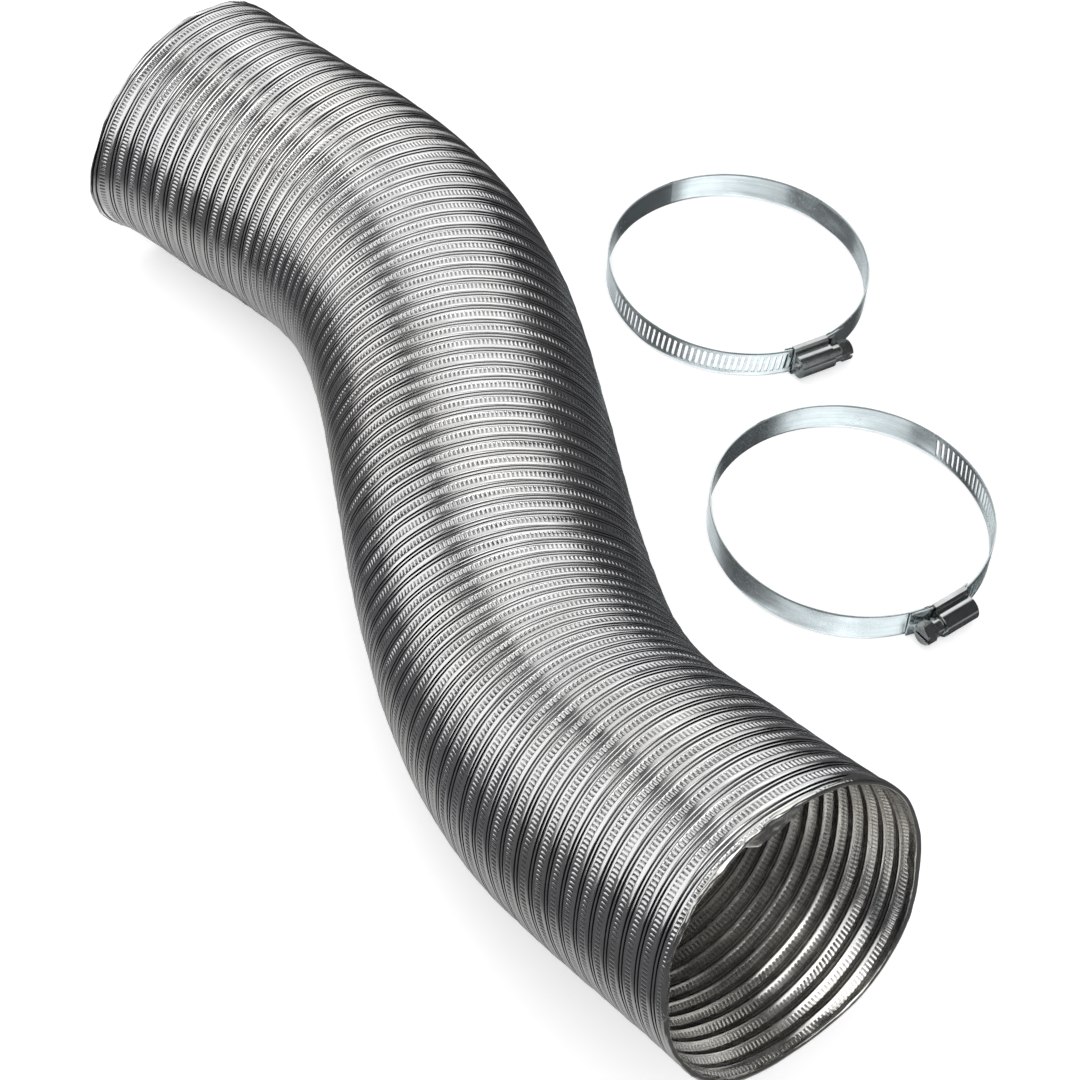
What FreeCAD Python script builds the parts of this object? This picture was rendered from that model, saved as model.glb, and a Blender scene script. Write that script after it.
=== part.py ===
import FreeCAD, Part
import math
import os

# Flexible corrugated aluminium air duct, nominal 4 inch (100 mm), lying in a
# shallow S with one end lifted, and the two worm-drive band clamps that
# fasten it, lying flat beside it.
#
# Frame: millimetres, +Z up.  The origin is the centre of the mouth of end A,
# the end that lies flat.  -Y points straight out of that mouth, and the duct
# runs from it towards +Y.  The supporting plane is z = -DUCT_R.

os.makedirs("parts", exist_ok=True)
Vec = FreeCAD.Vector

# ---------------------------------------------------------------- duct, mm
DUCT_R = 52.5            # outside radius over the corrugation crests
VALLEY_R = 51.2          # outside radius in the corrugation valleys
CREST_DIP = 0.55         # depth of the groove along each crest
WALL = 0.30              # lapped and crimped strip, two layers and seam
PITCH = 7.25             # one corrugation
END_TURNS = 5            # corrugations in each end cuff
RIB_TURNS = 2            # corrugations in each short stiff section
FLEX_TURNS = 3           # corrugations in each flexing stretch
N_RIBS = 11              # stiff sections between the two end cuffs
SEAM_GAP = 0.05          # drawn in at each end that meets a neighbour

# Corrugation: (distance along the pitch as a share, outside radius).
WAVE = [
    (0.0, VALLEY_R), (0.14, VALLEY_R), (0.27, DUCT_R), (0.45, DUCT_R),
    (0.50, DUCT_R - CREST_DIP), (0.55, DUCT_R), (0.73, DUCT_R), (0.86, VALLEY_R),
]

# Plan heading (degrees from +X) and elevation (degrees) of the centreline
# at equal steps from end A to end B.
HEADING = [
    90.0, 90.3, 92.9, 89.1, 77.4, 65.1, 57.6, 53.6, 51.8,
    52.3, 54.5, 57.5, 61.9, 68.6, 75.5, 79.2, 79.9, 79.9,
]
ELEVATION = [
    0.0, 0.0, 0.0, 0.0, 0.0, 0.0, 0.0, 0.0, 0.0,
    0.0, 0.0, 0.6, 6.8, 13.9, 18.5, 18.4, 16.3, 14.1,
]

STIFF_TURNS = [END_TURNS] + [RIB_TURNS] * N_RIBS + [END_TURNS]
DUCT_L = PITCH * (sum(STIFF_TURNS) + (N_RIBS + 1) * FLEX_TURNS)
TABLE_STEP = DUCT_L / (len(HEADING) - 1)
LINE_STEP = 0.25         # spacing of the points along the centreline
LINE_OVERRUN = 1.0       # least length of centreline beyond end B

# -------------------------------------------------------------- clamps, mm
BAND_R = 54.9            # inside radius of the closed ring
BAND_T = 0.6
BAND_W = 12.7
BAND_OUT_R = BAND_R + BAND_T
BAND_MID_R = BAND_R + BAND_T / 2.0
RING_GAP = 0.10          # clearance where the ring is divided
RING_GAP_DEG = math.degrees(RING_GAP / BAND_MID_R)

SLOT_PITCH = 2.65        # equals the pitch of the worm
SLOT_DEG = math.degrees(SLOT_PITCH / BAND_MID_R)
SLOT_W = 1.35
SLOT_L = 8.6
SLOT_CUT_DEPTH = 4.0     # depth of the slot cutter, through the band
SLOTS_BEFORE = 36        # slots between the housing and the plain band
SLOTS_AFTER = 4          # slots already through the housing
TAIL_SLOT_MARGIN = 2.0   # degrees kept plain on the tail side of 180
FAR_SLOT_MARGIN = 1.6    # degrees kept plain on the far side of 180
TAIL_RISE = 1.15         # how far the slotted end rides outside the ring
TAIL_ANGLE = 18.7        # how far it passes the housing centre, degrees
TAIL_CENTRE = Vec(0, -TAIL_RISE, 0)

SADDLE_HALF = 9.4        # half length of the saddle, degrees of arc
SADDLE_EXTRA = 2.0       # added at its -X end, degrees
SADDLE_GAP = 0.05        # between saddle and fixed band, degrees

HOUSING_L = 16.0
HOUSING_W = 14.4
HOUSING_T = 0.75
HOUSING_CHAMFER = 0.9    # along the outer corners of the shoulders
SKIRT_CLEAR = 0.05       # open edge of the housing outside BAND_R
SHOULDER_R = BAND_OUT_R + TAIL_RISE + 0.45   # underside of the shoulders
END_WALL = 0.70          # housing walls that carry the screw's journals
END_WALL_LAP = 0.2       # how far those walls run into the arch

WORM_R = 4.0             # over the thread
WORM_CORE_R = 2.9
WORM_TURNS = 5
WORM_TIP_LIFT = 0.10     # thread tip above the tail's inside face
WORM_Y = -(BAND_R + TAIL_RISE + WORM_TIP_LIFT + WORM_R)
THREAD_ROOT_R = WORM_CORE_R - 0.2
THREAD_ROOT_HALF = 0.62  # half width of the thread at its root
THREAD_TIP_HALF = 0.27   # half width of the thread at its tip
ARCH_R = WORM_R + 0.35   # inside radius of the housing's arch

COLLAR_R = 3.9
COLLAR_L = 4.0
COLLAR_START = 0.15      # from the housing's end face
COLLAR_CHAMFER = 0.3
HEX_AF = 7.94            # 5/16 inch hexagon
HEX_L = 5.0
HEX_R = HEX_AF / math.sqrt(3.0)
HEX_CONE_L = 0.9         # length of the cone that trims the corners
DRIVER_SLOT_W = 1.2
DRIVER_SLOT_D = 1.8
CORE_INSET = 1.1         # core ends, inside the housing's end faces
JOURNAL_R = 2.05
NECK_R = 2.55
BEARING_INSET = 1.2      # inner ends of journal and neck, measured likewise
JOURNAL_PROUD = 0.6      # journal beyond the housing's -X face
NECK_PROUD = 0.2         # neck beyond the housing's +X face
RUN_CLEAR = 0.07         # running clearance, radial

CLAMP_Z = -DUCT_R + HOUSING_W / 2.0   # centre plane, housings on the ground

# Clamp centres in plan, direction of each housing from its clamp's centre,
# and whether the clamp lies upside down.
CLAMPS = {
    "clamp_1": {"xy": (-131.2, 192.4), "housing": 71.0, "flip": False},
    "clamp_2": {"xy": (-53.4, 313.5), "housing": 79.2, "flip": True},
}


def save(shape, name):
    if shape.ShapeType == "Compound" and len(shape.Solids) == 1:
        shape = shape.Solids[0]
    shape.exportStep("parts/%s.step" % name)


# -------------------------------------------------------------- centreline
def interpolate(values, distance, step):
    """Linear value at a distance through values at equal steps."""
    i = min(max(int(distance // step), 0), len(values) - 2)
    share = (distance - i * step) / step
    return values[i] + (values[i + 1] - values[i]) * share


def direction(distance):
    """Unit vector along the centreline, from the heading tables."""
    heading = math.radians(interpolate(HEADING, distance, TABLE_STEP))
    elevation = math.radians(interpolate(ELEVATION, distance, TABLE_STEP))
    return Vec(math.cos(elevation) * math.cos(heading),
               math.cos(elevation) * math.sin(heading),
               math.sin(elevation))


def trace_centreline():
    """Points along the centreline, each step taken at its mid direction."""
    points = [Vec(0, 0, 0)]
    while (len(points) - 1) * LINE_STEP < DUCT_L + LINE_OVERRUN:
        middle = (len(points) - 0.5) * LINE_STEP
        points.append(points[-1] + direction(middle) * LINE_STEP)
    return points


def frame_at(origin, along):
    """Matrix whose Z runs along the duct and whose Y is as near up as can be."""
    along = Vec(along).normalize()
    up = Vec(0, 0, 1) - along * along.z
    up.normalize()
    side = up.cross(along)
    return FreeCAD.Matrix(side.x, up.x, along.x, origin.x,
                          side.y, up.y, along.y, origin.y,
                          side.z, up.z, along.z, origin.z,
                          0, 0, 0, 1)


# ------------------------------------------------------------ duct lengths
def corrugations(turns):
    """(distance, outside radius) points over a number of corrugations."""
    points = [((k + share) * PITCH, r) for k in range(turns) for share, r in WAVE]
    return points + [(turns * PITCH, VALLEY_R)]


def stiff_section(turns, gap_start, gap_end):
    """Straight corrugated tube on +Z, its middle at the origin."""
    total = turns * PITCH
    points = [(min(max(z, gap_start), total - gap_end) - total / 2.0, r)
              for z, r in corrugations(turns)]
    outer = [Vec(r, 0, z) for z, r in points]
    inner = [Vec(r - WALL, 0, z) for z, r in reversed(points)]
    outline = Part.makePolygon(outer + inner + [outer[0]])
    return Part.Face(outline).revolve(Vec(0, 0, 0), Vec(0, 0, 1), 360)


def hermite(start, start_dir, end, end_dir, u):
    """Point and unit tangent at share u of a Hermite curve."""
    length = (end - start).Length
    point = (start * (2 * u**3 - 3 * u**2 + 1)
             + start_dir * (length * (u**3 - 2 * u**2 + u))
             + (end * (-2 * u**3 + 3 * u**2) + end_dir * (length * (u**3 - u**2))))
    slope = (start * (6 * u**2 - 6 * u)
             + start_dir * (length * (3 * u**2 - 4 * u + 1))
             + (end * (-6 * u**2 + 6 * u) + end_dir * (length * (3 * u**2 - 2 * u))))
    return point, slope.normalize()


def flex_section(start, start_dir, end, end_dir):
    """Corrugated tube along a curved centreline between two planes."""
    total = FLEX_TURNS * PITCH
    margin = SEAM_GAP / total

    def loft(inset):
        wires = []
        for z, r in corrugations(FLEX_TURNS):
            u = min(max(z / total, margin), 1 - margin)
            point, tangent = hermite(start, start_dir, end, end_dir, u)
            circle = Part.Circle(Vec(0, 0, 0), Vec(0, 0, 1), r - inset).toShape()
            wire = Part.Wire([circle])
            wire.transformShape(frame_at(point, tangent))
            wires.append(wire)
        return Part.makeLoft(wires, True, True)

    return loft(0.0).cut(loft(WALL))


def build_duct():
    """Stiff sections tangent to the centreline, joined by flexing stretches."""
    line = trace_centreline()
    last = len(STIFF_TURNS) - 1
    ends = []                # (start, end, direction) of each stiff section
    distance = 0.0
    for k, turns in enumerate(STIFF_TURNS):
        half = turns * PITCH / 2.0
        if k == 0:
            # The first cuff points squarely out of the mouth at the origin.
            along = direction(0.0)
            middle = along * half
        else:
            along = direction(distance + half)
            middle = interpolate(line, distance + half, LINE_STEP)
        ends.append((middle - along * half, middle + along * half, along))
        section = stiff_section(turns,
                                gap_start=0.0 if k == 0 else SEAM_GAP,
                                gap_end=0.0 if k == last else SEAM_GAP)
        section.transformShape(frame_at(middle, along))
        save(section, "duct_section_%02d" % (k + 1))
        distance += (turns + FLEX_TURNS) * PITCH

    for k in range(last):
        _, start, start_dir = ends[k]
        end, _, end_dir = ends[k + 1]
        save(flex_section(start, start_dir, end, end_dir), "duct_flex_%02d" % (k + 1))


# ------------------------------------------------------------- clamp bands
# Each clamp is built about the origin, its axis along Z and its housing at
# the -Y side, then turned and put in its place.
def polar(r, degrees):
    angle = math.radians(degrees)
    return Vec(r * math.cos(angle), r * math.sin(angle), 0)


def band_strip(start, end, centre=Vec(0, 0, 0)):
    """Curved strip of band between two angles, centred on z = 0."""
    middle = (start + end) / 2.0

    def at(r, degrees):
        return centre + polar(r, degrees)

    face = Part.Face(Part.Wire([
        Part.Arc(at(BAND_R, start), at(BAND_R, middle), at(BAND_R, end)).toShape(),
        Part.makeLine(at(BAND_R, end), at(BAND_OUT_R, end)),
        Part.Arc(at(BAND_OUT_R, end), at(BAND_OUT_R, middle), at(BAND_OUT_R, start)).toShape(),
        Part.makeLine(at(BAND_OUT_R, start), at(BAND_R, start)),
    ]))
    face.translate(Vec(0, 0, -BAND_W / 2.0))
    return face.extrude(Vec(0, 0, BAND_W))


def slot_cutter(angle, centre):
    """Slanted slot, its long way across the band, at one angle."""
    lead = SLOT_PITCH / (2 * math.pi * WORM_R)
    box = Part.makeBox(SLOT_W, SLOT_CUT_DEPTH, SLOT_L,
                       Vec(-SLOT_W / 2, -SLOT_CUT_DEPTH / 2, -SLOT_L / 2))
    box.rotate(Vec(0, 0, 0), Vec(0, 1, 0), math.degrees(math.atan(lead)))
    box.translate(Vec(0, -BAND_MID_R, 0))
    box.rotate(Vec(0, 0, 0), Vec(0, 0, 1), angle + 90.0)
    box.translate(centre)
    return box


def slotted_strip(start, end, slots, centre=Vec(0, 0, 0)):
    cutters = [slot_cutter(angle, centre) for angle in slots]
    return band_strip(start, end, centre).cut(Part.makeCompound(cutters))


def build_bands():
    """Saddle under the housing and the three lengths of the ring."""
    slots = [270.0 - k * SLOT_DEG for k in range(-SLOTS_AFTER, SLOTS_BEFORE + 1)]
    far_slots = [angle for angle in slots if angle < 180.0 - FAR_SLOT_MARGIN]
    tail_slots = [angle for angle in slots if angle >= 180.0 + TAIL_SLOT_MARGIN]
    half_gap = RING_GAP_DEG / 2
    # The tail's own centre is lower, so it starts before 180 to meet the far band.
    tail_start = 180.0 - math.degrees(math.asin(TAIL_RISE / BAND_MID_R)) + RING_GAP_DEG
    return {
        "saddle": band_strip(-90 - SADDLE_HALF - SADDLE_EXTRA, -90 + SADDLE_HALF),
        "band_fixed": band_strip(-90 + SADDLE_HALF + SADDLE_GAP, -half_gap),
        "band_far": slotted_strip(half_gap, 180 - half_gap, far_slots),
        "band_tail": slotted_strip(tail_start, 270.0 + TAIL_ANGLE, tail_slots, TAIL_CENTRE),
    }


# ------------------------------------------------------- housing and screw
def arch_edges(flank, crown_y, first_side):
    """Edges up one flank, over the arch and down the mirrored flank.

    flank holds (z, y) points from the open edge to the foot of the arch;
    first_side is the sign of z on the flank where the edges begin.
    """
    rising = [Vec(0, y, first_side * z) for z, y in flank]
    falling = [Vec(0, y, -first_side * z) for z, y in reversed(flank)]
    edges = [Part.makeLine(a, b) for a, b in zip(rising, rising[1:])]
    edges.append(Part.Arc(rising[-1], Vec(0, crown_y, 0), falling[0]).toShape())
    return edges + [Part.makeLine(a, b) for a, b in zip(falling, falling[1:])]


def housing_profile():
    """Closed outline across the screw, in the plane x = 0."""
    half = HOUSING_W / 2.0
    half_in = half - HOUSING_T
    arch_out = ARCH_R + HOUSING_T
    edge_y = -(BAND_R + SKIRT_CLEAR)     # open edge, towards the clamp's centre
    under_y = -SHOULDER_R
    top_y = under_y - HOUSING_T

    def arch_foot(r, y):
        return math.sqrt(max(r * r - (y - WORM_Y) ** 2, 0.0))

    outer = [(half, edge_y), (half, top_y + HOUSING_CHAMFER),
             (half - HOUSING_CHAMFER, top_y), (arch_foot(arch_out, top_y), top_y)]
    inner = [(half_in, edge_y), (half_in, under_y), (arch_foot(ARCH_R, under_y), under_y)]
    edges = arch_edges(outer, WORM_Y - arch_out, -1)
    edges.append(Part.makeLine(Vec(0, edge_y, half), Vec(0, edge_y, half_in)))
    edges += arch_edges(inner, WORM_Y - ARCH_R, 1)
    edges.append(Part.makeLine(Vec(0, edge_y, -half_in), Vec(0, edge_y, -half)))
    return Part.Face(Part.Wire(Part.__sortEdges__(edges)))


def screw_cylinder(r, x0, x1):
    """Cylinder on the screw's axis."""
    return Part.makeCylinder(r, x1 - x0, Vec(x0, WORM_Y, 0), Vec(1, 0, 0))


def build_housing():
    half = HOUSING_L / 2.0
    face = housing_profile()
    face.translate(Vec(-half, 0, 0))
    body = face.extrude(Vec(HOUSING_L, 0, 0))
    # Keeps only the part of each end wall outside the shoulders' underside.
    arch_side = Part.makeBox(HOUSING_L + 2, 40, 40, Vec(-half - 1, -SHOULDER_R - 40, -20))
    for x0, x1, bearing_r in ((-half, -half + END_WALL, JOURNAL_R),
                              (half - END_WALL, half, NECK_R)):
        wall = screw_cylinder(ARCH_R + END_WALL_LAP, x0, x1).common(arch_side)
        wall = wall.cut(screw_cylinder(bearing_r + RUN_CLEAR, x0 - 1, x1 + 1))
        body = body.fuse(wall)
    return body.removeSplitter()


def build_core():
    """Worm core with a journal at the -X end and a neck at the +X end."""
    half = HOUSING_L / 2.0
    core = screw_cylinder(WORM_CORE_R, -half + CORE_INSET, half - CORE_INSET)
    core = core.fuse(screw_cylinder(JOURNAL_R, -half - JOURNAL_PROUD, -half + BEARING_INSET))
    return core.fuse(screw_cylinder(NECK_R, half - BEARING_INSET, half + NECK_PROUD))


def build_collar(x):
    collar = screw_cylinder(COLLAR_R, x, x + COLLAR_L)
    rims = [edge for edge in collar.Edges
            if edge.Closed and abs(edge.Length - 2 * math.pi * COLLAR_R) < 1e-3]
    return collar.makeChamfer(COLLAR_CHAMFER, rims)


def build_head(x):
    """Slotted hexagon, its outer corners trimmed by a cone."""
    corners = []
    for i in range(7):
        angle = math.radians(60 * i + 30)
        corners.append(Vec(x, WORM_Y + HEX_R * math.cos(angle), HEX_R * math.sin(angle)))
    head = Part.Face(Part.makePolygon(corners)).extrude(Vec(HEX_L, 0, 0))
    cone_x = x + HEX_L - HEX_CONE_L
    trim = Part.makeCone(HEX_R + 0.35, HEX_R - 0.55, HEX_CONE_L,
                         Vec(cone_x, WORM_Y, 0), Vec(1, 0, 0))
    trim = trim.fuse(screw_cylinder(HEX_R + 0.4, x - 0.1, cone_x))
    head = head.common(trim)
    slot = Part.makeBox(DRIVER_SLOT_D + 1, 20, DRIVER_SLOT_W,
                        Vec(x + HEX_L - DRIVER_SLOT_D, WORM_Y - 10, -DRIVER_SLOT_W / 2))
    return head.cut(slot)


def build_thread():
    """Right-hand thread; a crest points at the band at every whole pitch."""
    span = WORM_TURNS * SLOT_PITCH
    helix = Part.makeHelix(SLOT_PITCH, span, THREAD_ROOT_R)
    profile = Part.makePolygon([
        Vec(THREAD_ROOT_R, 0, -THREAD_ROOT_HALF), Vec(WORM_R, 0, -THREAD_TIP_HALF),
        Vec(WORM_R, 0, THREAD_TIP_HALF), Vec(THREAD_ROOT_R, 0, THREAD_ROOT_HALF),
        Vec(THREAD_ROOT_R, 0, -THREAD_ROOT_HALF),
    ])
    thread = Part.Wire(helix.Edges).makePipeShell([profile], True, True)
    # Lays the helix axis along +X and turns its start towards -Y.
    thread.transformShape(FreeCAD.Matrix(0, 0, 1, -span / 2.0,
                                         -1, 0, 0, WORM_Y,
                                         0, -1, 0, 0,
                                         0, 0, 0, 1))
    return thread


def build_screw():
    collar_x = HOUSING_L / 2.0 + COLLAR_START
    return build_core().fuse([build_collar(collar_x),
                              build_head(collar_x + COLLAR_L),
                              build_thread()])


def clamp_matrix(spec):
    matrix = FreeCAD.Matrix()
    turn = spec["housing"] + 90.0
    if spec["flip"]:
        matrix.rotateX(math.pi)
        turn = spec["housing"] - 90.0
    matrix.rotateZ(math.radians(turn))
    matrix.move(Vec(*spec["xy"], CLAMP_Z))
    return matrix


def build_clamp(clamp, spec):
    pieces = build_bands()
    pieces["housing"] = build_housing()
    pieces["screw"] = build_screw()
    for name, shape in pieces.items():
        shape.transformShape(clamp_matrix(spec))
        save(shape, "%s_%s" % (clamp, name))


build_duct()
for clamp_name, clamp_spec in CLAMPS.items():
    build_clamp(clamp_name, clamp_spec)
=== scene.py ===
"""Flexible ribbed foil duct on a pale floor, with two slotted band clamps beside it.

The duct is wound from a strip of foil. Its centreline starts at the origin heading
along +Y, swings towards +X and rises off the floor to its open mouth. The clamps lie
flat on the floor on the -X side. +Z is up. Lengths are in millimetres unless noted;
meshes, lights and the camera are written in metres.
"""
import math
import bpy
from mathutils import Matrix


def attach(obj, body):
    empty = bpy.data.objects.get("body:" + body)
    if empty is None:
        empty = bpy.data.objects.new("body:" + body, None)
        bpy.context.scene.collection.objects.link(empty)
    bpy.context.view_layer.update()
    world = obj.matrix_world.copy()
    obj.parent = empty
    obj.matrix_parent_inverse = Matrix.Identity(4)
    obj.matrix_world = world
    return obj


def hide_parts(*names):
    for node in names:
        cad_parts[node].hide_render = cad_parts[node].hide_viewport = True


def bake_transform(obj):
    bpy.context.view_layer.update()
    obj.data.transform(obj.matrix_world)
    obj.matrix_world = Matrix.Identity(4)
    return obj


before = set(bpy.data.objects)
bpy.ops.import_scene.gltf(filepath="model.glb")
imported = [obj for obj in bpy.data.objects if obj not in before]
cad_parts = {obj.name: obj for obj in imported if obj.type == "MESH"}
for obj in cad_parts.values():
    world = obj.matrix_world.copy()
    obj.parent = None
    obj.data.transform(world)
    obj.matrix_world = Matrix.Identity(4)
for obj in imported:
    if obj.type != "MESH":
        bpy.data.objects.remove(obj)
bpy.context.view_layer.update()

from types import SimpleNamespace

import bpy
import numpy as np
from mathutils import Matrix, Vector

# ===================================================================== sizes
MM = 0.001                      # metres
TURN = 2 * math.pi
CREST_R = 52.5
PITCH = 7.25                    # advance of the strip in one turn
END_TURNS, RIB_TURNS, FLEX_TURNS, N_RIBS = 5, 2, 3, 11
LENGTH = PITCH * (2 * END_TURNS + N_RIBS * RIB_TURNS + (N_RIBS + 1) * FLEX_TURNS)
# Direction of the centreline in degrees, at stations evenly spaced along it.
HEADING = [90.0, 90.3, 92.9, 89.1, 77.4, 65.1, 57.6, 53.6, 51.8,
           52.3, 54.5, 57.5, 61.9, 68.6, 75.5, 79.2, 79.9, 79.9]
ELEVATION = [0.0] * 11 + [0.6, 6.8, 13.9, 18.5, 18.4, 16.3, 14.1]
STATION = LENGTH / (len(HEADING) - 1)
FLOOR_Z = -CREST_R


# =================================================================== helpers
class Waves:
    """Sum of seeded plane waves in any number of dimensions, about -1 to 1.

    With wraps, the first dimension is an angle and the sum closes on itself.
    """

    def __init__(self, seed, scales, count=14, wraps=False):
        rng = np.random.RandomState(seed)
        self.k = rng.normal(size=(count, len(scales))) * (TURN / np.array(scales))
        if wraps:
            self.k[:, 0] = np.round(self.k[:, 0])
        self.phase = rng.uniform(0, TURN, count)

    def __call__(self, *x):
        total = 0.0
        for k, angle in zip(self.k, self.phase):
            for d in range(len(x)):
                angle = angle + k[d] * x[d]
            total = total + np.cos(angle)
        return total / math.sqrt(len(self.phase))


def smooth01(x):
    x = np.clip(x, 0, 1)
    return x * x * (3 - 2 * x)


def fade(distance, reach):
    """1 up to distance 0, then dying away."""
    return np.exp(-np.clip(distance, 0, None) / reach)


def bell(x, centre, width):
    return np.exp(-((x - centre) / width) ** 2)


def add_object(name, data):
    ob = bpy.data.objects.new(name, data)
    bpy.context.scene.collection.objects.link(ob)
    return ob


def mark_sharp(mesh, pairs):
    """Make the edges between these vertex pairs sharp, so rims don't bend the shading."""
    def keys(ends):
        ends = np.sort(ends, axis=1)
        return ends[:, 0].astype(np.int64) * len(mesh.vertices) + ends[:, 1]

    ends = np.zeros(len(mesh.edges) * 2, np.int32)
    mesh.edges.foreach_get("vertices", ends)
    sharp = (mesh.attributes.get("sharp_edge")
             or mesh.attributes.new("sharp_edge", "BOOLEAN", "EDGE"))
    sharp.data.foreach_set("value", np.isin(keys(ends.reshape(-1, 2)), keys(pairs)))


def shell(name, outer, inner, faces):
    """Closed thin shell with sharp rims between two sheets of points, in metres."""
    n = len(outer)
    uses = {}
    for face in faces:
        for a, b in zip(face, face[1:] + face[:1]):
            uses.setdefault((min(a, b), max(a, b)), []).append((a, b))
    rim = [edges[0] for edges in uses.values() if len(edges) == 1]
    both = []
    for face in faces:
        both += [face, tuple(v + n for v in reversed(face))]
    both += [(b, a, a + n, b + n) for a, b in rim]
    mesh = bpy.data.meshes.new(name)
    mesh.from_pydata([tuple(v) for v in np.vstack([outer, inner])], [], both)
    mesh.validate()
    mesh.update(calc_edges=True)
    mesh.polygons.foreach_set("use_smooth", np.ones(len(mesh.polygons), bool))
    rim = np.array(rim)
    mark_sharp(mesh, np.vstack([rim, rim + n]))
    return add_object(name, mesh)


# ================================================================ centreline
LINE_STEP, LINE_SPARE = 0.25, 12.0      # spare length past each end
LINE_S = np.arange(-LINE_SPARE, LENGTH + LINE_SPARE, LINE_STEP)


def direction(s):
    """Heading and elevation in radians at arc lengths s."""
    return [np.radians(np.interp(s, STATION * np.arange(len(table)), table))
            for table in (HEADING, ELEVATION)]


def trace_line():
    h, e = direction(LINE_S + LINE_STEP / 2)
    steps = np.column_stack([np.cos(e) * np.cos(h), np.cos(e) * np.sin(h), np.sin(e)])
    line = np.vstack([np.zeros(3), np.cumsum(steps * LINE_STEP, axis=0)])[:-1]
    return line - line[np.searchsorted(LINE_S, 0.0)]


LINE = trace_line()


def tube_frame(s):
    """Centre, sideways and up vectors at arc lengths s."""
    centre = np.column_stack([np.interp(s, LINE_S, LINE[:, i]) for i in range(3)])
    h, e = direction(s)
    tangent = np.column_stack([np.cos(e) * np.cos(h), np.cos(e) * np.sin(h), np.sin(e)])
    up = np.column_stack([-np.sin(e) * np.cos(h), -np.sin(e) * np.sin(h), np.cos(e)])
    return centre, np.cross(up, tangent), up


def place(s, angle, radius):
    """Points in metres from arc length, angle and radius."""
    centre, side, up = tube_frame(s)
    out = np.cos(angle)[:, None] * side + np.sin(angle)[:, None] * up
    return (centre + radius[:, None] * out) * MM


def stiff_lengths():
    """(start, end) of each stiff length along the centreline."""
    spans, start = [], 0.0
    for k in range(N_RIBS + 2):
        turns = END_TURNS if k in (0, N_RIBS + 1) else RIB_TURNS
        spans.append((start, start + turns * PITCH))
        start += (turns + FLEX_TURNS) * PITCH
    return spans


STIFF = stiff_lengths()


def section_body(k):
    return "duct_section_%02d" % (k + 1)


# ================================================================= duct skin
# Rows across the strip: mm from the groove, height against the crest, share of
# the tooth depth. Rows with teeth have more columns.
ROWS = [(0.0, -0.02, 0),
        (0.22, -0.07, 0.25), (0.44, -0.03, 1.0), (2.26, -0.03, 1.0), (2.48, -0.07, 0.25),
        (2.66, -0.02, 0), (3.05, 0.02, 0), (3.66, 0.05, 0), (4.24, 0.02, 0),
        (4.38, -0.05, 0), (4.50, -0.58, 0), (4.86, -0.58, 0), (4.97, -0.06, 0),
        (5.08, 0.0, 0), (5.38, 0.03, 0), (5.68, 0.0, 0), (5.79, -0.06, 0),
        (5.90, -0.58, 0), (6.26, -0.58, 0), (6.38, -0.05, 0), (6.52, 0.01, 0),
        (6.92, 0.01, 0)]
# Inner face of the wall, as mm from the groove and height against the crest: it
# leans towards one end over the knurl and back again under the lands.
INNER = np.array([(0.0, -1.55), (0.44, -1.30), (2.30, -0.46), (2.75, -0.46), (4.50, -1.70),
                  (4.75, -1.95), (6.38, -1.95), (6.92, -1.76), (PITCH, -1.55)]).T
TEETH = 206                                     # per turn
COARSE = TEETH // 2                             # columns per turn away from the teeth
TOOTH_FORM = np.array([1.0, 0.42, 0.0, 0.42])   # depth shares over one tooth
FINE = 2 * len(TOOTH_FORM)                      # knurl columns per coarse column
TOOTH_DEPTH = 0.30
INNER_TEETH = 0.55              # share of the tooth depth lost on the inner face
END_SKIN, MIN_SKIN = 0.34, 0.20                 # wall at the cut ends, thinnest elsewhere
FIRST_COL, LAST_COL = -COARSE, round(LENGTH / PITCH * COARSE)

dent_broad = Waves(11, scales=(1.3, 34.0), count=18, wraps=True)
dent_small = Waves(12, scales=(0.55, 15.0), count=22, wraps=True)
ridge_vary = Waves(13, scales=(46.0,), count=12)
broad_tilt = Waves(14, scales=(60.0,), count=12)
narrow_vary = Waves(15, scales=(38.0,), count=12)
tooth_vary = Waves(16, scales=(70.0,), count=12)
tooth_shift = Waves(17, scales=(160.0,), count=10)
land_vary = Waves(18, scales=(90.0,), count=12)
cut_start = Waves(21, scales=(0.9,), count=16, wraps=True)
cut_mouth = Waves(22, scales=(0.9,), count=16, wraps=True)
crush_start = Waves(23, scales=(0.35, 7.0), count=20, wraps=True)
crush_mouth = Waves(24, scales=(0.35, 7.0), count=20, wraps=True)


def body_shape(s, angle):
    """Slow departures of the tube from a true round, mm of radius."""
    out = 0.16 * dent_broad(angle, s) + 0.07 * dent_small(angle, s)
    # the mouth is squeezed a little square
    square = np.cos(4 * (angle - math.radians(45)))
    out = out + fade(LENGTH - s, reach=26.0) * 0.9 * square
    # the start is slightly oval and five-lobed
    oval = np.cos(2 * (angle - math.radians(20)))
    out = out + fade(s, reach=16.0) * (0.5 * oval + 0.25 * np.cos(5 * angle + 1))
    # and flared out at one side
    flare = bell(np.mod(angle, TURN), centre=math.radians(186), width=math.radians(30))
    return out + 5.2 * fade(s, reach=7.5) * flare


def strip_path(column):
    """Millimetres travelled along the strip at a coarse column."""
    return column / COARSE * TURN * CREST_R


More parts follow.
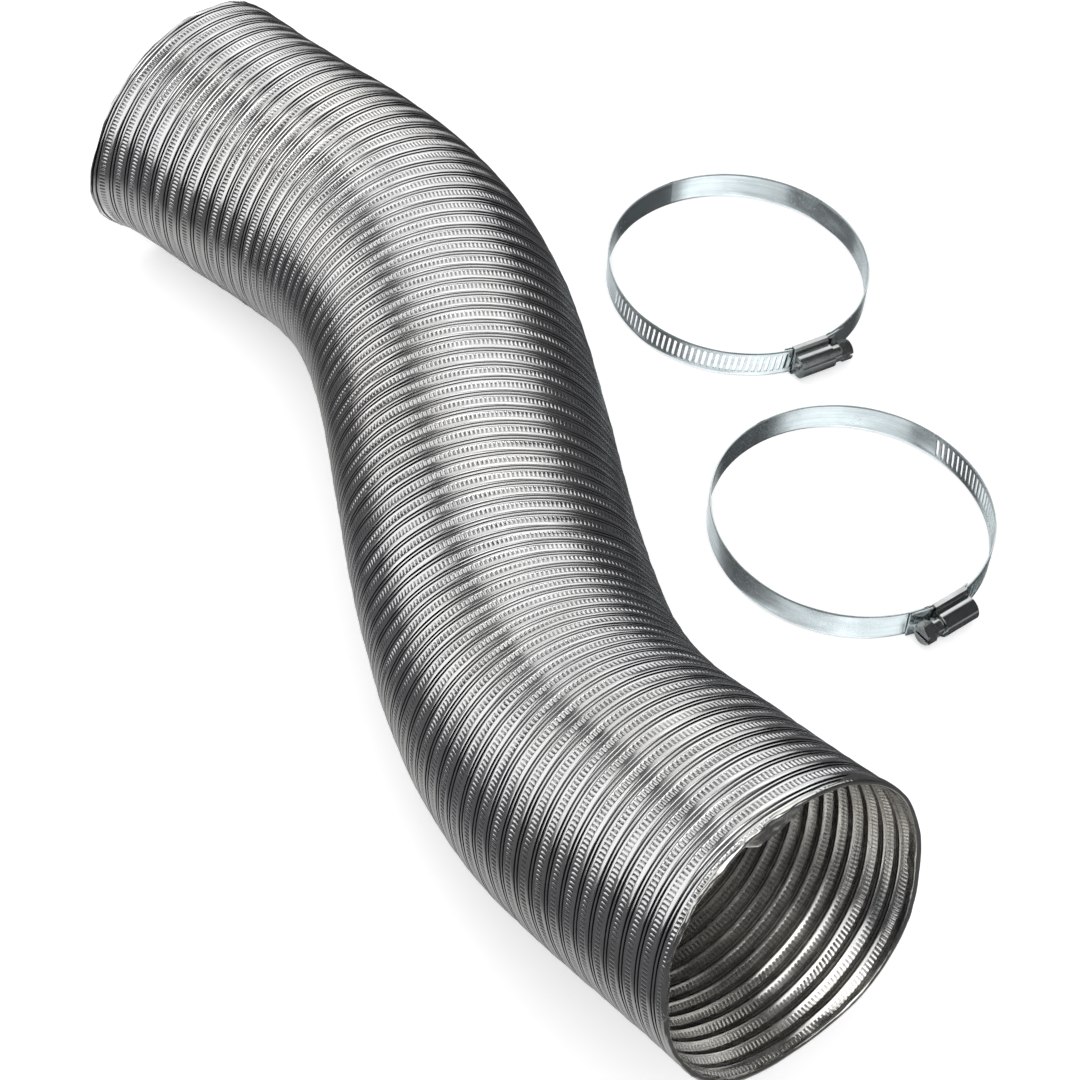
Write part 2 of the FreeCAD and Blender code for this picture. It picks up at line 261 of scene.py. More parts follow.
def strip_points(column, across, height, tooth, valley):
    """Arc length, angle and radius of one row of strip points."""
    along = strip_path(column)
    s = PITCH * (column / COARSE) + across
    radius = CREST_R + height
    # the broad land leans either way, the narrow land and the ridge wander in height
    broad = bell(across, centre=3.70, width=0.85)
    narrow = bell(across, centre=6.70, width=0.35)
    ridge = bell(across, centre=5.38, width=0.3)
    radius = radius + 0.11 * broad_tilt(along) * (across - 3.70) * broad
    radius = radius + 0.022 * narrow_vary(along) * narrow
    radius = radius + 0.03 * ridge_vary(along) * ridge + 0.05 * land_vary(along) * broad
    # teeth vary in depth by a quarter, and in place by about a third of their pitch
    depth = TOOTH_DEPTH * np.clip(1.0 + 0.25 * tooth_vary(along), 0.45, 1.5)
    radius = radius - tooth * depth * valley
    angle = -TURN * (column / COARSE)
    angle = angle + tooth_shift(along) * 0.35 * (TURN / TEETH) * (tooth > 0)
    return s, angle, radius + body_shape(np.clip(s, 0, LENGTH), angle)


def row_shade(across, height, tooth, valley):
    """How much painted shade each point of a row takes, 0 to 1: full on a groove's floor,
    0.85 on its shoulders, and by depth in the valleys between the teeth.
    """
    if tooth:
        return valley * tooth * 0.66
    floor_of_groove, shoulder = height < -0.5, height < -0.04 and across > 4.3
    return np.full(len(valley), 1.0 if floor_of_groove else 0.85 if shoulder else 0.0)


def join_fine(fine, coarse, columns):
    """Triangles between a fine row and the coarse row above it."""
    triangles = [np.column_stack([fine[columns * FINE + f], fine[columns * FINE + f + 1],
                                  coarse[columns + (f >= FINE // 2)]]) for f in range(FINE)]
    triangles.append(np.column_stack([fine[columns * FINE + FINE // 2],
                                      coarse[columns + 1], coarse[columns]]))
    return np.vstack(triangles)


def skin_faces(ids):
    """Outer triangles and the coarse column of each, from the point numbers of each row."""
    quads, quad_cols, triangles, triangle_cols = [], [], [], []
    cells = np.arange(LAST_COL - FIRST_COL)
    for r, low in enumerate(ids):
        closing = r + 1 == len(ROWS)        # the last row joins the next turn's first
        high = ids[0][COARSE:] if closing else ids[r + 1]
        low_fine, high_fine = ROWS[r][2] > 0, not closing and ROWS[r + 1][2] > 0
        if low_fine == high_fine:
            m = np.arange(min(len(low), len(high)) - 1)
            quads.append(np.column_stack([low[m], low[m + 1], high[m + 1], high[m]]))
            quad_cols.append(FIRST_COL + (m // FINE if low_fine else m))
        else:
            triangles.append(join_fine(low, high, cells) if low_fine
                             else join_fine(high, low, cells)[:, ::-1])
            triangle_cols.append(FIRST_COL + np.tile(cells, FINE + 1))
    quads, quad_cols = np.vstack(quads), np.concatenate(quad_cols)
    faces = np.vstack([quads[:, [0, 1, 2]], quads[:, [0, 2, 3]]] + triangles)
    return faces, np.concatenate([quad_cols, quad_cols] + triangle_cols)


def build_skin():
    """Outer surface of the whole strip, running past both ends."""
    coarse = np.arange(FIRST_COL, LAST_COL + 1)
    fine = np.arange(FIRST_COL * FINE, LAST_COL * FINE + 1) / FINE
    fine_valley = TOOTH_FORM[np.arange(len(fine)) % len(TOOTH_FORM)]
    points, ids, count = [], [], 0
    for across, height, tooth in ROWS:
        columns, valley = (fine, fine_valley) if tooth else (coarse, np.zeros(len(coarse)))
        n = len(columns)
        s, angle, radius = strip_points(columns, across, height, tooth, valley)
        wall = (np.full(n, height - np.interp(across, INNER[0], INNER[1]))
                - INNER_TEETH * TOOTH_DEPTH * tooth * valley)
        points.append((s, angle, radius, wall, np.full(n, across), strip_path(columns),
                       row_shade(across, height, tooth, valley)))
        ids.append(np.arange(count, count + n))
        count += n
    names = ("s", "angle", "radius", "wall", "across", "along", "groove")
    skin = SimpleNamespace(**dict(zip(names, map(np.concatenate, zip(*points)))))
    skin.faces, skin.columns = skin_faces(ids)
    return skin


def cut_edges(angle):
    """Arc lengths where the foil was cut, at the start and at the mouth."""
    start = 0.55 + 0.45 * np.clip(cut_start(angle), -1.2, 1.2)
    mouth = LENGTH - 0.55 - 0.45 * np.clip(cut_mouth(angle), -1.2, 1.2)
    return start, mouth


def merge_cut_points(skin, *cut_flags):
    """Join points that were moved onto the same place of a cut edge."""
    slot = TURN / (COARSE * FINE * 4)
    key = np.round(np.mod(skin.angle, TURN) / slot).astype(np.int64)
    merge = np.arange(len(skin.s))
    for flag in cut_flags:
        index = np.nonzero(flag)[0]
        order = index[np.argsort(key[index], kind="stable")]
        sorted_key = key[order]
        first = np.concatenate([[True], sorted_key[1:] != sorted_key[:-1]])
        merge[order] = order[np.maximum.accumulate(
            np.where(first, np.arange(len(order)), 0))]
    faces = merge[skin.faces]
    keep = ((faces[:, 0] != faces[:, 1]) & (faces[:, 1] != faces[:, 2])
            & (faces[:, 2] != faces[:, 0]))
    for flag in cut_flags:
        keep &= ~flag[faces].all(1)
    skin.faces, skin.columns = faces[keep], skin.columns[keep]


def trim_ends(skin):
    """Cut the strip off at both ends, and place its outer and inner points."""
    start, mouth = cut_edges(skin.angle)
    below, above = skin.s < start, skin.s > mouth
    s = skin.s = np.where(below, start, np.where(above, mouth, skin.s))
    # slight crushing that dies away from the cut edges
    near_end = fade(np.minimum(s - start, mouth - s), reach=2.2)
    crush = np.where(s < LENGTH / 2, crush_start(skin.angle, s), crush_mouth(skin.angle, s))
    skin.radius = skin.radius + near_end * 0.30 * crush
    merge_cut_points(skin, below, above)
    # the wall reaches full thickness 2.4 mm from the start and 5.5 mm from the mouth
    ease = smooth01(np.minimum((s - start) / 2.4, (mouth - s) / 5.5))
    wall = END_SKIN + (np.maximum(skin.wall, MIN_SKIN) - END_SKIN) * ease
    skin.outer = place(s, skin.angle, skin.radius)
    skin.inner = place(s, skin.angle, skin.radius - wall)


skin = build_skin()
trim_ends(skin)


def skin_piece(name, faces):
    """Closed thin shell from outer triangles: outer, inner and edge faces."""
    used, inverse = np.unique(faces, return_inverse=True)
    outer = inverse.reshape(-1, 3)
    n = len(used)
    edges = np.vstack([outer[:, [0, 1]], outer[:, [1, 2]], outer[:, [2, 0]]])
    ends = np.sort(edges, axis=1)
    _, first, uses = np.unique(ends[:, 0].astype(np.int64) * n + ends[:, 1],
                               return_index=True, return_counts=True)
    rim = edges[first[uses == 1]]
    inner = outer[:, ::-1] + n
    wall = np.column_stack([rim[:, 1], rim[:, 0], rim[:, 0] + n, rim[:, 1] + n])

    mesh = bpy.data.meshes.new(name)
    mesh.vertices.add(2 * n)
    points = np.vstack([skin.outer[used], skin.inner[used]])
    mesh.vertices.foreach_set("co", points.astype(np.float32).ravel())
    loops = np.concatenate([outer.ravel(), inner.ravel(), wall.ravel()])
    nt, nw = len(outer), len(wall)
    starts = np.concatenate([np.arange(0, 6 * nt, 3), 6 * nt + 4 * np.arange(nw)])
    totals = np.concatenate([np.full(2 * nt, 3), np.full(nw, 4)])
    slots = np.concatenate([np.zeros(nt), np.ones(nt), np.zeros(nw)])
    mesh.loops.add(len(loops))
    mesh.loops.foreach_set("vertex_index", loops.astype(np.int32))
    mesh.polygons.add(len(starts))
    mesh.polygons.foreach_set("loop_start", starts.astype(np.int32))
    mesh.polygons.foreach_set("loop_total", totals.astype(np.int32))
    mesh.polygons.foreach_set("use_smooth", np.ones(len(starts), bool))
    mesh.polygons.foreach_set("material_index", slots.astype(np.int32))
    # strip coordinates for the materials, in millimetres, and the share of painted shade in
    # the grooves and between the teeth
    for attribute, values in (("strip_along", skin.along), ("strip_across", skin.across),
                              ("groove", skin.groove)):
        data = mesh.attributes.new(attribute, "FLOAT", "POINT").data
        data.foreach_set("value", np.tile(values[used], 2).astype(np.float32))
    mesh.update(calc_edges=True)
    mesh.validate()
    mark_sharp(mesh, np.vstack([rim, rim + n]))
    return add_object(name, mesh), used


# ================================================================= materials
class Graph:
    """Small helper for wiring the shader nodes of a material or world."""

    def __init__(self, owner):
        owner.use_nodes = True
        self.tree = owner.node_tree
        self.tree.nodes.clear()

    def fill(self, node, inputs):
        """Set inputs, by name or number, to values, sockets or first outputs of nodes."""
        for key, value in inputs.items():
            if isinstance(value, bpy.types.Node):
                value = value.outputs[0]
            if isinstance(value, bpy.types.NodeSocket):
                self.tree.links.new(value, node.inputs[key])
            else:
                node.inputs[key].default_value = value

    def add(self, kind, inputs={}, **settings):
        node = self.tree.nodes.new("ShaderNode" + kind)
        for key, value in settings.items():
            setattr(node, key, value)
        self.fill(node, inputs)
        return node

    def attribute(self, name):
        return self.add("Attribute", attribute_name=name).outputs["Fac"]

    def position(self):
        return self.add("TexCoord").outputs["Object"]

    def math(self, operation, a, b):
        return self.add("Math", {0: a, 1: b, 2: 0.0}, operation=operation)

    def noise(self, vector, scale, detail, rough):
        return self.add("TexNoise", {"Vector": vector, "Scale": scale, "Detail": detail,
                                     "Roughness": rough}).outputs["Fac"]

    def remap(self, value, span, to):
        return self.add("MapRange", {0: value, 1: span[0], 2: span[1], 3: to[0], 4: to[1]})

    def overlay(self, base, colour, mask, span, amount):
        """Lay a colour over the base, by amount[0] to amount[1] as the mask crosses span."""
        factor = self.remap(mask, span, amount)
        return self.add("Mix", {0: factor, 6: base, 7: colour}, data_type="RGBA").outputs[2]

    def bump(self, height, strength, distance, under=None):
        inputs = {"Strength": strength, "Distance": distance, "Height": height}
        if under is not None:
            inputs["Normal"] = under
        return self.add("Bump", inputs)

    def mix_shaders(self, factor, a, b):
        return self.add("MixShader", {0: factor, 1: a, 2: b})


def metal(name):
    material = bpy.data.materials.new(name)
    graph = Graph(material)
    output = graph.add("OutputMaterial")
    surface = graph.add("BsdfPrincipled")
    graph.fill(output, {0: surface})
    return material, graph, surface


def foil(name, lines_amount, streak_amount, streak_colour, groove_shade_amount, groove_shade_colour,
         rough, stained):
    """Rolled foil, marked by its strip_along, strip_across and groove attributes; the groove
    attribute lays painted shade into the grooves and between the teeth.
    """
    material, graph, surface = metal(name)
    along, across, groove = map(graph.attribute, ("strip_along", "strip_across", "groove"))

    def strip_noise(along_rate, across_rate, detail, rough):
        x = graph.math("MULTIPLY", along, along_rate)
        y = graph.math("MULTIPLY", across, across_rate)
        return graph.noise(graph.add("CombineXYZ", {0: x, 1: y}), scale=1.0,
                           detail=detail, rough=rough)

    # rolling lines run along the strip, a few to each millimetre
    lines = strip_noise(along_rate=0.012, across_rate=3.2, detail=4.0, rough=0.6)
    scuff = graph.noise(graph.position(), scale=130.0, detail=1.5, rough=0.5)
    cloud = graph.noise(graph.position(), scale=16.0, detail=3.0, rough=0.5)
    tone = graph.overlay((0.880, 0.885, 0.895, 1), (0.935, 0.925, 0.895, 1),
                         mask=cloud, span=(0.35, 0.68), amount=(0.0, 1.0))
    tone = graph.overlay(tone, (0.66, 0.665, 0.67, 1), mask=lines, span=(0.45, 0.70),
                         amount=(0.0, lines_amount))
    # broader drawing marks, up to a millimetre wide
    streak = strip_noise(along_rate=0.006, across_rate=1.4, detail=2.0, rough=0.5)
    tone = graph.overlay(tone, streak_colour, mask=streak, span=(0.48, 0.64),
                         amount=(0.0, streak_amount))
    # painted shade: a dark colour laid into the grooves and between the teeth, where shade
    # falls
    tone = graph.overlay(tone, groove_shade_colour, mask=groove, span=(0.20, 0.85),
                         amount=(0.0, groove_shade_amount))
    if stained:
        tone = graph.overlay(tone, (0.84, 0.81, 0.73, 1), mask=cloud, span=(0.40, 0.62),
                             amount=(0.05, 0.40))
    roughness = graph.math("ADD", graph.remap(scuff, span=(0.3, 0.7), to=rough),
                           graph.remap(lines, span=(0.35, 0.7), to=(-0.02, 0.05)))
    normal = graph.bump(lines, strength=0.5, distance=0.000005)
    normal = graph.bump(scuff, strength=0.4, distance=0.00002, under=normal)
    graph.fill(surface, {"Base Color": tone, "Metallic": 1.0, "Roughness": roughness,
                         "Normal": normal})
    return material


def steel(name, tint, rough, grain_axis, grain_scale):
    """Bright metal with a grain."""
    material, graph, surface = metal(name)

    def darker(share):
        return tuple(x * share for x in tint[:3]) + (1,)

    stretched = graph.add("VectorMath", {0: graph.position(), 1: grain_axis},
                          operation="MULTIPLY")
    grain = graph.noise(stretched, scale=grain_scale, detail=4.0, rough=0.6)
    cloud = graph.noise(graph.position(), scale=55.0, detail=3.0, rough=0.55)
    fleck = graph.noise(graph.position(), scale=900.0, detail=2.0, rough=0.5)
    tone = graph.overlay(tint, darker(0.80), mask=cloud, span=(0.35, 0.68), amount=(0.0, 1.0))
    tone = graph.overlay(tone, darker(0.62), mask=grain, span=(0.42, 0.66),
                         amount=(0.0, 0.35))
    roughness = graph.math("ADD", graph.remap(cloud, span=(0.3, 0.7), to=rough),
                           graph.remap(fleck, span=(0.3, 0.7), to=(0.0, 0.05)))
    normal = graph.bump(grain, strength=0.4, distance=0.000008)
    normal = graph.bump(cloud, strength=0.4, distance=0.00004, under=normal)
    graph.fill(surface, {"Base Color": tone, "Metallic": 1.0, "Roughness": roughness,
                         "Normal": normal})
    return material


# Both foils lay painted shade into their grooves and between the teeth; the dark colour there
# stands for shade.
foil_outside = foil("foil_outside", lines_amount=0.30,
                    streak_amount=0.20, streak_colour=(0.52, 0.52, 0.52, 1),
                    groove_shade_amount=0.96, groove_shade_colour=(0.028, 0.028, 0.027, 1),
                    rough=(0.15, 0.24), stained=False)
foil_inside = foil("foil_inside", lines_amount=0.15,
                   streak_amount=0.62, streak_colour=(0.30, 0.29, 0.265, 1),
                   groove_shade_amount=0.80, groove_shade_colour=(0.10, 0.10, 0.098, 1),
                   rough=(0.17, 0.27), stained=True)
band_steel = steel("band_steel", tint=(0.80, 0.865, 0.875, 1), rough=(0.16, 0.26),
                   grain_axis=(1, 1, 60), grain_scale=14.0)
housing_steel = steel("housing_steel", tint=(0.62, 0.64, 0.635, 1), rough=(0.10, 0.22),
                      grain_axis=(1, 1, 1), grain_scale=160.0)
screw_steel = steel("screw_steel", tint=(0.58, 0.59, 0.585, 1), rough=(0.12, 0.26),
                    grain_axis=(1, 1, 1), grain_scale=200.0)
foil_cut_edge = steel("foil_cut_edge", tint=(0.88, 0.87, 0.83, 1), rough=(0.10, 0.20),
                      grain_axis=(1, 1, 1), grain_scale=220.0)


def clamp_material(name):
    if "band" in name or "saddle" in name:
        return band_steel
    return housing_steel if "housing" in name else screw_steel


for name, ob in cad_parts.items():
    if name.startswith("clamp"):
        for material_slot in ob.material_slots:
            material_slot.material = clamp_material(name)
        if not ob.material_slots:
            ob.data.materials.append(clamp_material(name))


# =============================================================== duct pieces
def blend_by_run(ob):
    """Bake the object's placement into its mesh."""
    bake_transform(ob)


def duct_pieces():
    """The skin, divided along the strip inside each stiff length."""
    turns = [STIFF[0][1] / PITCH - 1.6]
    turns += [(start + end) / 2 / PITCH - 0.5 for start, end in STIFF[1:-1]]
    turns += [STIFF[-1][0] / PITCH + 0.6]
    cuts = [round(COARSE * turn) for turn in turns]
    piece_of = np.searchsorted(np.array(cuts), skin.columns, side="right")
    for q in range(len(cuts) + 1):
        faces = skin.faces[piece_of == q]
        if q in (0, len(cuts)):
            ob, _ = skin_piece("duct_end_b" if q else "duct_end_a", faces)
            body = section_body(N_RIBS + 1 if q else 0)
            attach(ob, body)
            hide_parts(body)
        else:
            ob, used = skin_piece("duct_skin_%02d" % q, faces)
            replaced = ["duct_flex_%02d" % q]
            if q > 1:
                replaced.append(section_body(q - 1))
            blend_by_run(ob)
            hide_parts(*replaced)
        ob.data.materials.append(foil_outside)
        ob.data.materials.append(foil_inside)


duct_pieces()

# =============================================================== clamp bands
BAND_R, BAND_T, BAND_W = 54.9, 0.6, 12.7    # inner radius, thickness, width
BAND_MID = BAND_R + BAND_T / 2
EDGE, EDGE_HALF_T = 0.13, 0.17              # rolled edge: width and half thickness
TAIL_RISE = 1.15                            # how far the tail stands off the round
SLOT_PITCH, SLOT_W, SLOT_L = 2.65, 1.35, 8.6
SLOT_HELIX_R = 4.0                          # slots lean like a helix of this radius
SLOT_SLANT = SLOT_PITCH / (TURN * SLOT_HELIX_R)
SLOT_DEG = math.degrees(SLOT_PITCH / BAND_MID)
SLOTS = sorted(270.0 - k * SLOT_DEG for k in range(-4, 37))
# Rounded end of a slot: height above its middle, share of its half width.
SLOT_END = [(3.625, 1.0), (3.84, 0.948), (4.06, 0.764), (4.235, 0.428)]
SLOT_END_Z, SLOT_END_SHARE = zip(*SLOT_END)
UPPER = [1.8, *SLOT_END_Z, SLOT_L / 2, 5.3, BAND_W / 2 - EDGE, BAND_W / 2]
LEVELS = [-z for z in reversed(UPPER)] + [0.0] + UPPER
CLAMP_MID_Z = FLOOR_Z + 7.2
# Middle x and y, bearing of the housing in degrees, turned upside down.
CLAMPS = {"clamp_1": (-131.2, 192.4, 71.0, False), "clamp_2": (-53.4, 313.5, 79.2, True)}
band_wave = Waves(31, scales=(0.9, 9.0), count=14)


def even_steps(a, b):
    n = round((b - a) / SLOT_DEG)
    return [a + (b - a) * i / n for i in range(n + 1)]


def band_grid(start, end, slots):
    """Flat pattern of a band length: (degrees, height) points and quads, with its slots."""
    points, faces = [], []
    half = SLOT_DEG / 2

    def column(angle):
        points.extend((angle, z) for z in LEVELS)
        return list(range(len(points) - len(LEVELS), len(points)))

    def slot_sides(angle):
        """Points down the two sides of a slot; the sides meet beyond its ends."""
        low_side, high_side = [], []
        for z in LEVELS:
            lean = math.degrees(max(-SLOT_L / 2, min(SLOT_L / 2, z)) * SLOT_SLANT / BAND_MID)
            low_side.append(len(points))
            if abs(z) >= SLOT_L / 2:
                points.append((angle + lean, z))
            else:
                share = np.interp(abs(z), SLOT_END_Z, SLOT_END_SHARE)
                opening = math.degrees(SLOT_W / 2 * share / BAND_MID)
                points.append((angle + lean - opening, z))
                points.append((angle + lean + opening, z))
            high_side.append(len(points) - 1)
        return low_side, high_side

    def level_quads(low, high):
        return [(low[i], high[i], high[i + 1], low[i + 1]) for i in range(len(LEVELS) - 1)]

    before = even_steps(start, slots[0] - half if slots else end)
    after = even_steps(slots[-1] + half, end)[1:] if slots else []
    previous = column(before[0])
    for angle in before[1:]:
        current = column(angle)
        faces += level_quads(previous, current)
        previous = current
    for angle in slots:
        current = column(angle + half)
        low_side, high_side = slot_sides(angle)
        for pair in zip(level_quads(previous, low_side), level_quads(high_side, current)):
            faces += pair
        previous = current
    for angle in after:
        current = column(angle)
        faces += level_quads(previous, current)
        previous = current
    return np.array(points), faces


def clamp_place(points, x, y, housing, flip):
    """Points in metres, from a clamp's own axes to its place on the floor."""
    turn = math.radians(housing + (-90 if flip else 90))
    if flip:
        points = points * np.array([1, -1, -1])
    c, s = math.cos(turn), math.sin(turn)
    px, py, pz = points.T
    return np.column_stack([c * px - s * py + x, s * px + c * py + y, pz + CLAMP_MID_Z]) * MM


def band_piece(clamp, strip, start, end, slots, nodes):
    """Band from start to end degrees, in place of the given clamp nodes, which it hides."""
    points, faces = band_grid(start, end, slots)
    degrees, z = points.T
    angle = np.radians(degrees)
    shift = -TAIL_RISE * smooth01((degrees - 150) / 50)
    half_t = np.where(np.abs(z) > BAND_W / 2 - EDGE / 2, EDGE_HALF_T, BAND_T / 2)
    # a little hand-made unevenness, none at 90 degrees where the two lengths meet
    uneven = 0.05 * band_wave(degrees / 30.0, z) * smooth01(np.abs(degrees - 90) / 20)
    sheets = []
    for side in (1, -1):
        r = BAND_MID + side * half_t + uneven
        sheet = np.column_stack([r * np.cos(angle), r * np.sin(angle) + shift, z])
        sheets.append(clamp_place(sheet, *CLAMPS[clamp]))
    outer, inner = sheets
    ob = shell(clamp + strip, outer, inner, faces)
    if CLAMPS[clamp][3]:
        ob.data.flip_normals()
    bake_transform(ob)
    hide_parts(*[clamp + node for node in nodes])
    ob.data.materials.append(band_steel)


for clamp in CLAMPS:
    band_piece(clamp, "_strip_a", start=-80.5, end=90.0, slots=[],
               nodes=["_band_fixed"])
    band_piece(clamp, "_strip_b", start=90.0, end=288.7, slots=SLOTS,
               nodes=["_band_far", "_band_tail"])

# ================================================= folded cut edge of the mouth
LIP_N = 618                     # points around the lip
LIP_T = 0.18
# Share of the cover, height above the crest: rows over the outside of the duct.
LIP_COVER = [(1.0, 0.10), (0.55, 0.20), (0.15, 0.20)]
# Distance past the front, height above the crest: rows round the fold.
LIP_BEND = [(0.0, 0.10), (0.16, -0.25), (0.12, -0.85), (-0.15, -1.25)]
LIP_FOLD = [0.15, 0.3, 0.5, 0.7, 0.85, 1.0]     # shares of the fold inside the duct

ragged_broad = Waves(43, scales=(0.5,), count=16, wraps=True)
ragged = Waves(41, scales=(0.30,), count=26, wraps=True)
ragged_fine = Waves(42, scales=(0.09,), count=30, wraps=True)
crumple = Waves(44, scales=(0.26, 2.6), count=34, wraps=True)
crumple_fine = Waves(45, scales=(0.10, 1.2), count=40, wraps=True)


def lip_sheet():
    """Rows of lip points in metres, from the outside of the duct round to its inside."""
    angle = np.arange(LIP_N) * TURN / LIP_N

    def window(centre, half, soft):
        """1 within half of centre, falling to 0 over soft, in degrees."""
        off = np.abs((np.degrees(angle) - centre + 180) % 360 - 180)
        return smooth01((half + soft - off) / soft)

    close_cut = window(centre=285, half=52, soft=16)
    torn = window(centre=140, half=40, soft=18)         # torn and crumpled
    tongue = window(centre=95, half=8, soft=8)          # a tongue folded in
    neat = window(centre=22, half=34, soft=14)          # neatly folded over
    low_fold = window(centre=212, half=14, soft=10)
    # reach of the lip over the outside, reach of its fold inside, crumpling
    cover = 1.0 + 2.8 * neat + 0.35 * ragged_broad(angle) + 0.6 * low_fold - 0.5 * close_cut
    fold = (1.1 + 0.5 * ragged_broad(angle + 1.0) + 2.3 * neat + 4.2 * tongue
            + torn * (1.6 + 1.3 * ragged(angle)) + 1.6 * low_fold - 0.7 * close_cut)
    fold = np.clip(fold + 0.30 * ragged_fine(angle), 0.45, None)
    mess = 0.08 + 0.34 * torn + 0.16 * tongue + 0.20 * low_fold
    edge = cut_edges(angle)[1]
    front = edge + 0.35 + 0.35 * torn * ragged(angle)
    crest = CREST_R + body_shape(np.full(LIP_N, LENGTH), angle)
    # how far the torn part hangs in
    sag = torn * np.clip(0.9 + 0.9 * ragged_broad(angle + 2), 0, None)

    rows = []                   # arc length, radius
    for share, rise in LIP_COVER:
        s = edge - cover * share
        rows.append((s, crest + rise + 0.25 * mess * crumple(angle, s)))
    for ahead, rise in LIP_BEND:
        s = front + ahead
        rows.append((s, crest + rise + mess * (0.5 * crumple(angle, s)
                                               + 0.35 * crumple_fine(angle, s))))
    for share in LIP_FOLD:
        s = front - 0.15 - fold * share * (1 - 0.72 * tongue) * (1 - 0.35 * torn)
        fine = crumple_fine(angle, s)
        radius = (crest - 1.42 - 5.0 * tongue * share - sag * share
                  - mess * np.abs(crumple(angle, s)) * 1.1
                  - mess * 0.8 * (0.5 + 0.5 * fine) * share)
        rows.append((s + 0.25 * mess * fine, radius))
    return np.array([place(s, angle, radius) for s, radius in rows])


def mouth_lip():
    sheet = lip_sheet()
    # second side of the folded sheet, offset along the sheet's own normal
    around = np.roll(sheet, -1, 1) - np.roll(sheet, 1, 1)
    normal = np.cross(around, np.gradient(sheet, axis=0))
    normal /= np.linalg.norm(normal, axis=2, keepdims=True)
    under = sheet - normal * LIP_T * MM
    faces = []
    for low in range(0, (len(sheet) - 1) * LIP_N, LIP_N):
        for c in range(LIP_N):
            d = (c + 1) % LIP_N
            faces.append((low + c, low + LIP_N + c, low + LIP_N + d, low + d))
    lip = shell("duct_mouth_lip", sheet.reshape(-1, 3), under.reshape(-1, 3), faces)
    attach(lip, section_body(N_RIBS + 1))
    lip.data.materials.append(foil_cut_edge)


mouth_lip()

# ===================================================================== floor
STUDIO_X, STUDIO_Y = 0.02, 0.24         # middle of the scene, metres
FLOOR_HALF, FLOOR_GAP = 6, 0.0004       # half side, gap below the duct, metres
FLOOR_GLOW, FLOOR_FAR_GLOW = 0.52, 0.90


def floor_material():
    """Pale card as seen directly; in mirror rays it depends on how far off it is.

    The metal mirrors a faint sheen where it touches, a painted darker card close by,
    and a painted dim studio, a near-black card, further off.
    """
    material = bpy.data.materials.new("floor_pale")
    graph = Graph(material)
    path = graph.add("LightPath").outputs
    card = graph.add("BsdfDiffuse", {"Color": (0.86, 0.86, 0.86, 1)})
    glow = graph.add("Emission", {"Color": (1, 1, 1, 1), "Strength": FLOOR_GLOW})
    seen = graph.add("AddShader", {0: card, 1: glow})
    # painted reflection: to mirror rays the floor is a darker card nearby and near-black
    # further off, standing for the shade of a dim studio
    near_card = graph.add("BsdfDiffuse", {"Color": (0.50, 0.50, 0.495, 1)})
    near_glow = graph.add("Emission", {"Color": (1, 1, 0.99, 1), "Strength": 0.05})
    near = graph.add("AddShader", {0: near_card, 1: near_glow})
    far = graph.add("BsdfDiffuse", {"Color": (0.09, 0.09, 0.095, 1)})
    gloss = graph.add("BsdfGlossy", {"Color": (0.75, 0.78, 0.80, 1), "Roughness": 0.12})
    sheen = graph.mix_shaders(0.06, gloss, near_card)
    ray = path["Ray Length"]
    close = graph.mix_shaders(graph.remap(ray, span=(0.022, 0.045), to=(0.0, 1.0)),
                              sheen, near)
    # far from the lamps the card keeps its paleness, so no horizon shows
    geometry = graph.add("NewGeometry").outputs
    incoming = graph.add("SeparateXYZ", {0: geometry["Incoming"]}).outputs
    reach = graph.add("VectorMath", {0: geometry["Position"],
                                     1: (STUDIO_X, STUDIO_Y, FLOOR_Z * MM)},
                      operation="DISTANCE").outputs["Value"]
    graph.fill(glow, {"Strength": graph.remap(reach, span=(0.7, 2.2),
                                              to=(FLOOR_GLOW, FLOOR_FAR_GLOW))})
    # rays that meet the floor squarely still find it pale
    slant = graph.remap(incoming[2], span=(0.78, 0.95), to=(1.0, 0.0))
    distant = graph.remap(ray, span=(0.065, 0.120), to=(0.0, 1.0))
    mirrored = graph.mix_shaders(graph.math("MULTIPLY", distant, slant), close, far)
    whole = graph.mix_shaders(path["Is Glossy Ray"], seen, mirrored)
    graph.add("OutputMaterial", {0: whole})
    return material


def build_floor():
    z = FLOOR_Z * MM - FLOOR_GAP
    corners = [(-1, -1), (1, -1), (1, 1), (-1, 1)]
    mesh = bpy.data.meshes.new("floor")
    mesh.from_pydata([(x * FLOOR_HALF, y * FLOOR_HALF, z) for x, y in corners],
                     [], [(0, 1, 2, 3)])
    floor = add_object("floor", mesh)
    mesh.materials.append(floor_material())


build_floor()

# ==================================================================== lights
# Directions as the camera sees them: right, away along the floor, up.
CAM_TURN = math.radians(129.01)
RIGHT = np.array([math.cos(CAM_TURN), math.sin(CAM_TURN), 0])
AWAY = np.array([-math.sin(CAM_TURN), math.cos(CAM_TURN), 0])
UP = np.array([0, 0, 1.0])

# Name, bearing from AWAY (+ to the right), height angle, width and height in
# degrees, brightness, distance in metres.
SOFTBOXES = [
    ("box_rear", -7, 36, 60, 52, 0.80, 1.7),
    ("box_rear_core", 2, 45, 34, 20, 0.46, 1.6),
    ("box_left", -86, 16, 56, 42, 1.02, 1.7),
    ("box_front", 170, 46, 74, 34, 1.00, 1.8),
    ("box_mouth", 138, 38, 44, 62, 0.72, 1.7),
    ("box_top", -148, 75, 56, 44, 1.70, 1.7),
]


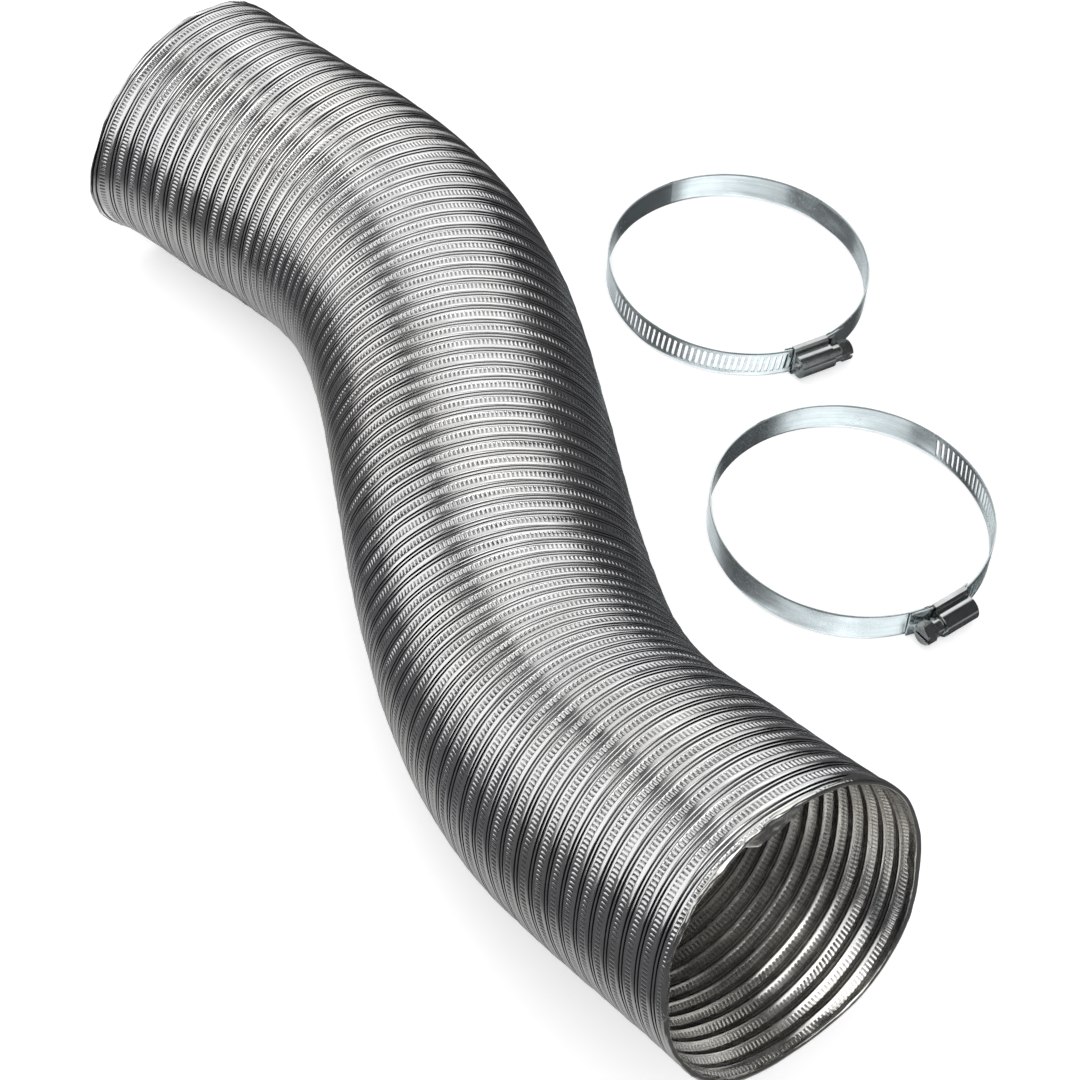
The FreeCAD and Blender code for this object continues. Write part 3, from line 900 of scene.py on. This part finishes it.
def softbox(name, bearing, height, wide, tall, level, distance):
    """Rectangular diffuser facing the middle of the scene."""
    a, e = math.radians(bearing), math.radians(height)
    outward = (RIGHT * (math.sin(a) * math.cos(e)) + AWAY * (math.cos(a) * math.cos(e))
               + UP * math.sin(e))
    position = np.array([STUDIO_X, STUDIO_Y, 0.0]) + outward * distance
    light = bpy.data.lights.new(name, "AREA")
    light.shape = "RECTANGLE"
    light.size = 2 * distance * math.tan(math.radians(wide / 2))
    light.size_y = 2 * distance * math.tan(math.radians(tall / 2))
    light.energy = level * math.pi * light.size * light.size_y
    ob = add_object(name, light)
    turn = Vector(outward).to_track_quat("Z", "Y").to_matrix().to_4x4()
    ob.matrix_world = Matrix.Translation(Vector(position)) @ turn
    ob.visible_camera = False


def build_world():
    """A dim room for the light, a pale one for the camera."""
    world = bpy.data.worlds.new("studio")
    bpy.context.scene.world = world
    graph = Graph(world)
    path = graph.add("LightPath").outputs
    room = graph.add("Background", {"Color": (0.92, 0.96, 1.0, 1), "Strength": 0.05})
    backdrop = graph.add("Background", {"Color": (0.93, 0.93, 0.93, 1), "Strength": 1.0})
    graph.add("OutputWorld", {0: graph.mix_shaders(path["Is Camera Ray"], room, backdrop)})


for spec in SOFTBOXES:
    softbox(*spec)
build_world()

# ==================================================================== camera
CAM_PLACE = np.array([550.34, 648.27, 700.98])
CAM_PITCH, CAM_ROLL = math.radians(48.693), math.radians(-4.451)    # pitch is downward


def build_camera():
    data = bpy.data.cameras.new("camera")
    data.lens, data.sensor_width = 86.15, 36.0
    data.clip_start, data.clip_end = 0.01, 50
    camera = add_object("camera", data)
    back = UP * math.sin(CAM_PITCH) - AWAY * math.cos(CAM_PITCH)
    level_top = AWAY * math.sin(CAM_PITCH) + UP * math.cos(CAM_PITCH)
    side = RIGHT * math.cos(CAM_ROLL) - level_top * math.sin(CAM_ROLL)
    top = level_top * math.cos(CAM_ROLL) + RIGHT * math.sin(CAM_ROLL)
    matrix = np.eye(4)
    matrix[:3] = np.column_stack([side, top, back, CAM_PLACE * MM])
    camera.matrix_world = Matrix(matrix.tolist())
    bpy.context.scene.camera = camera


build_camera()
bpy.context.scene.view_settings.view_transform = "Standard"
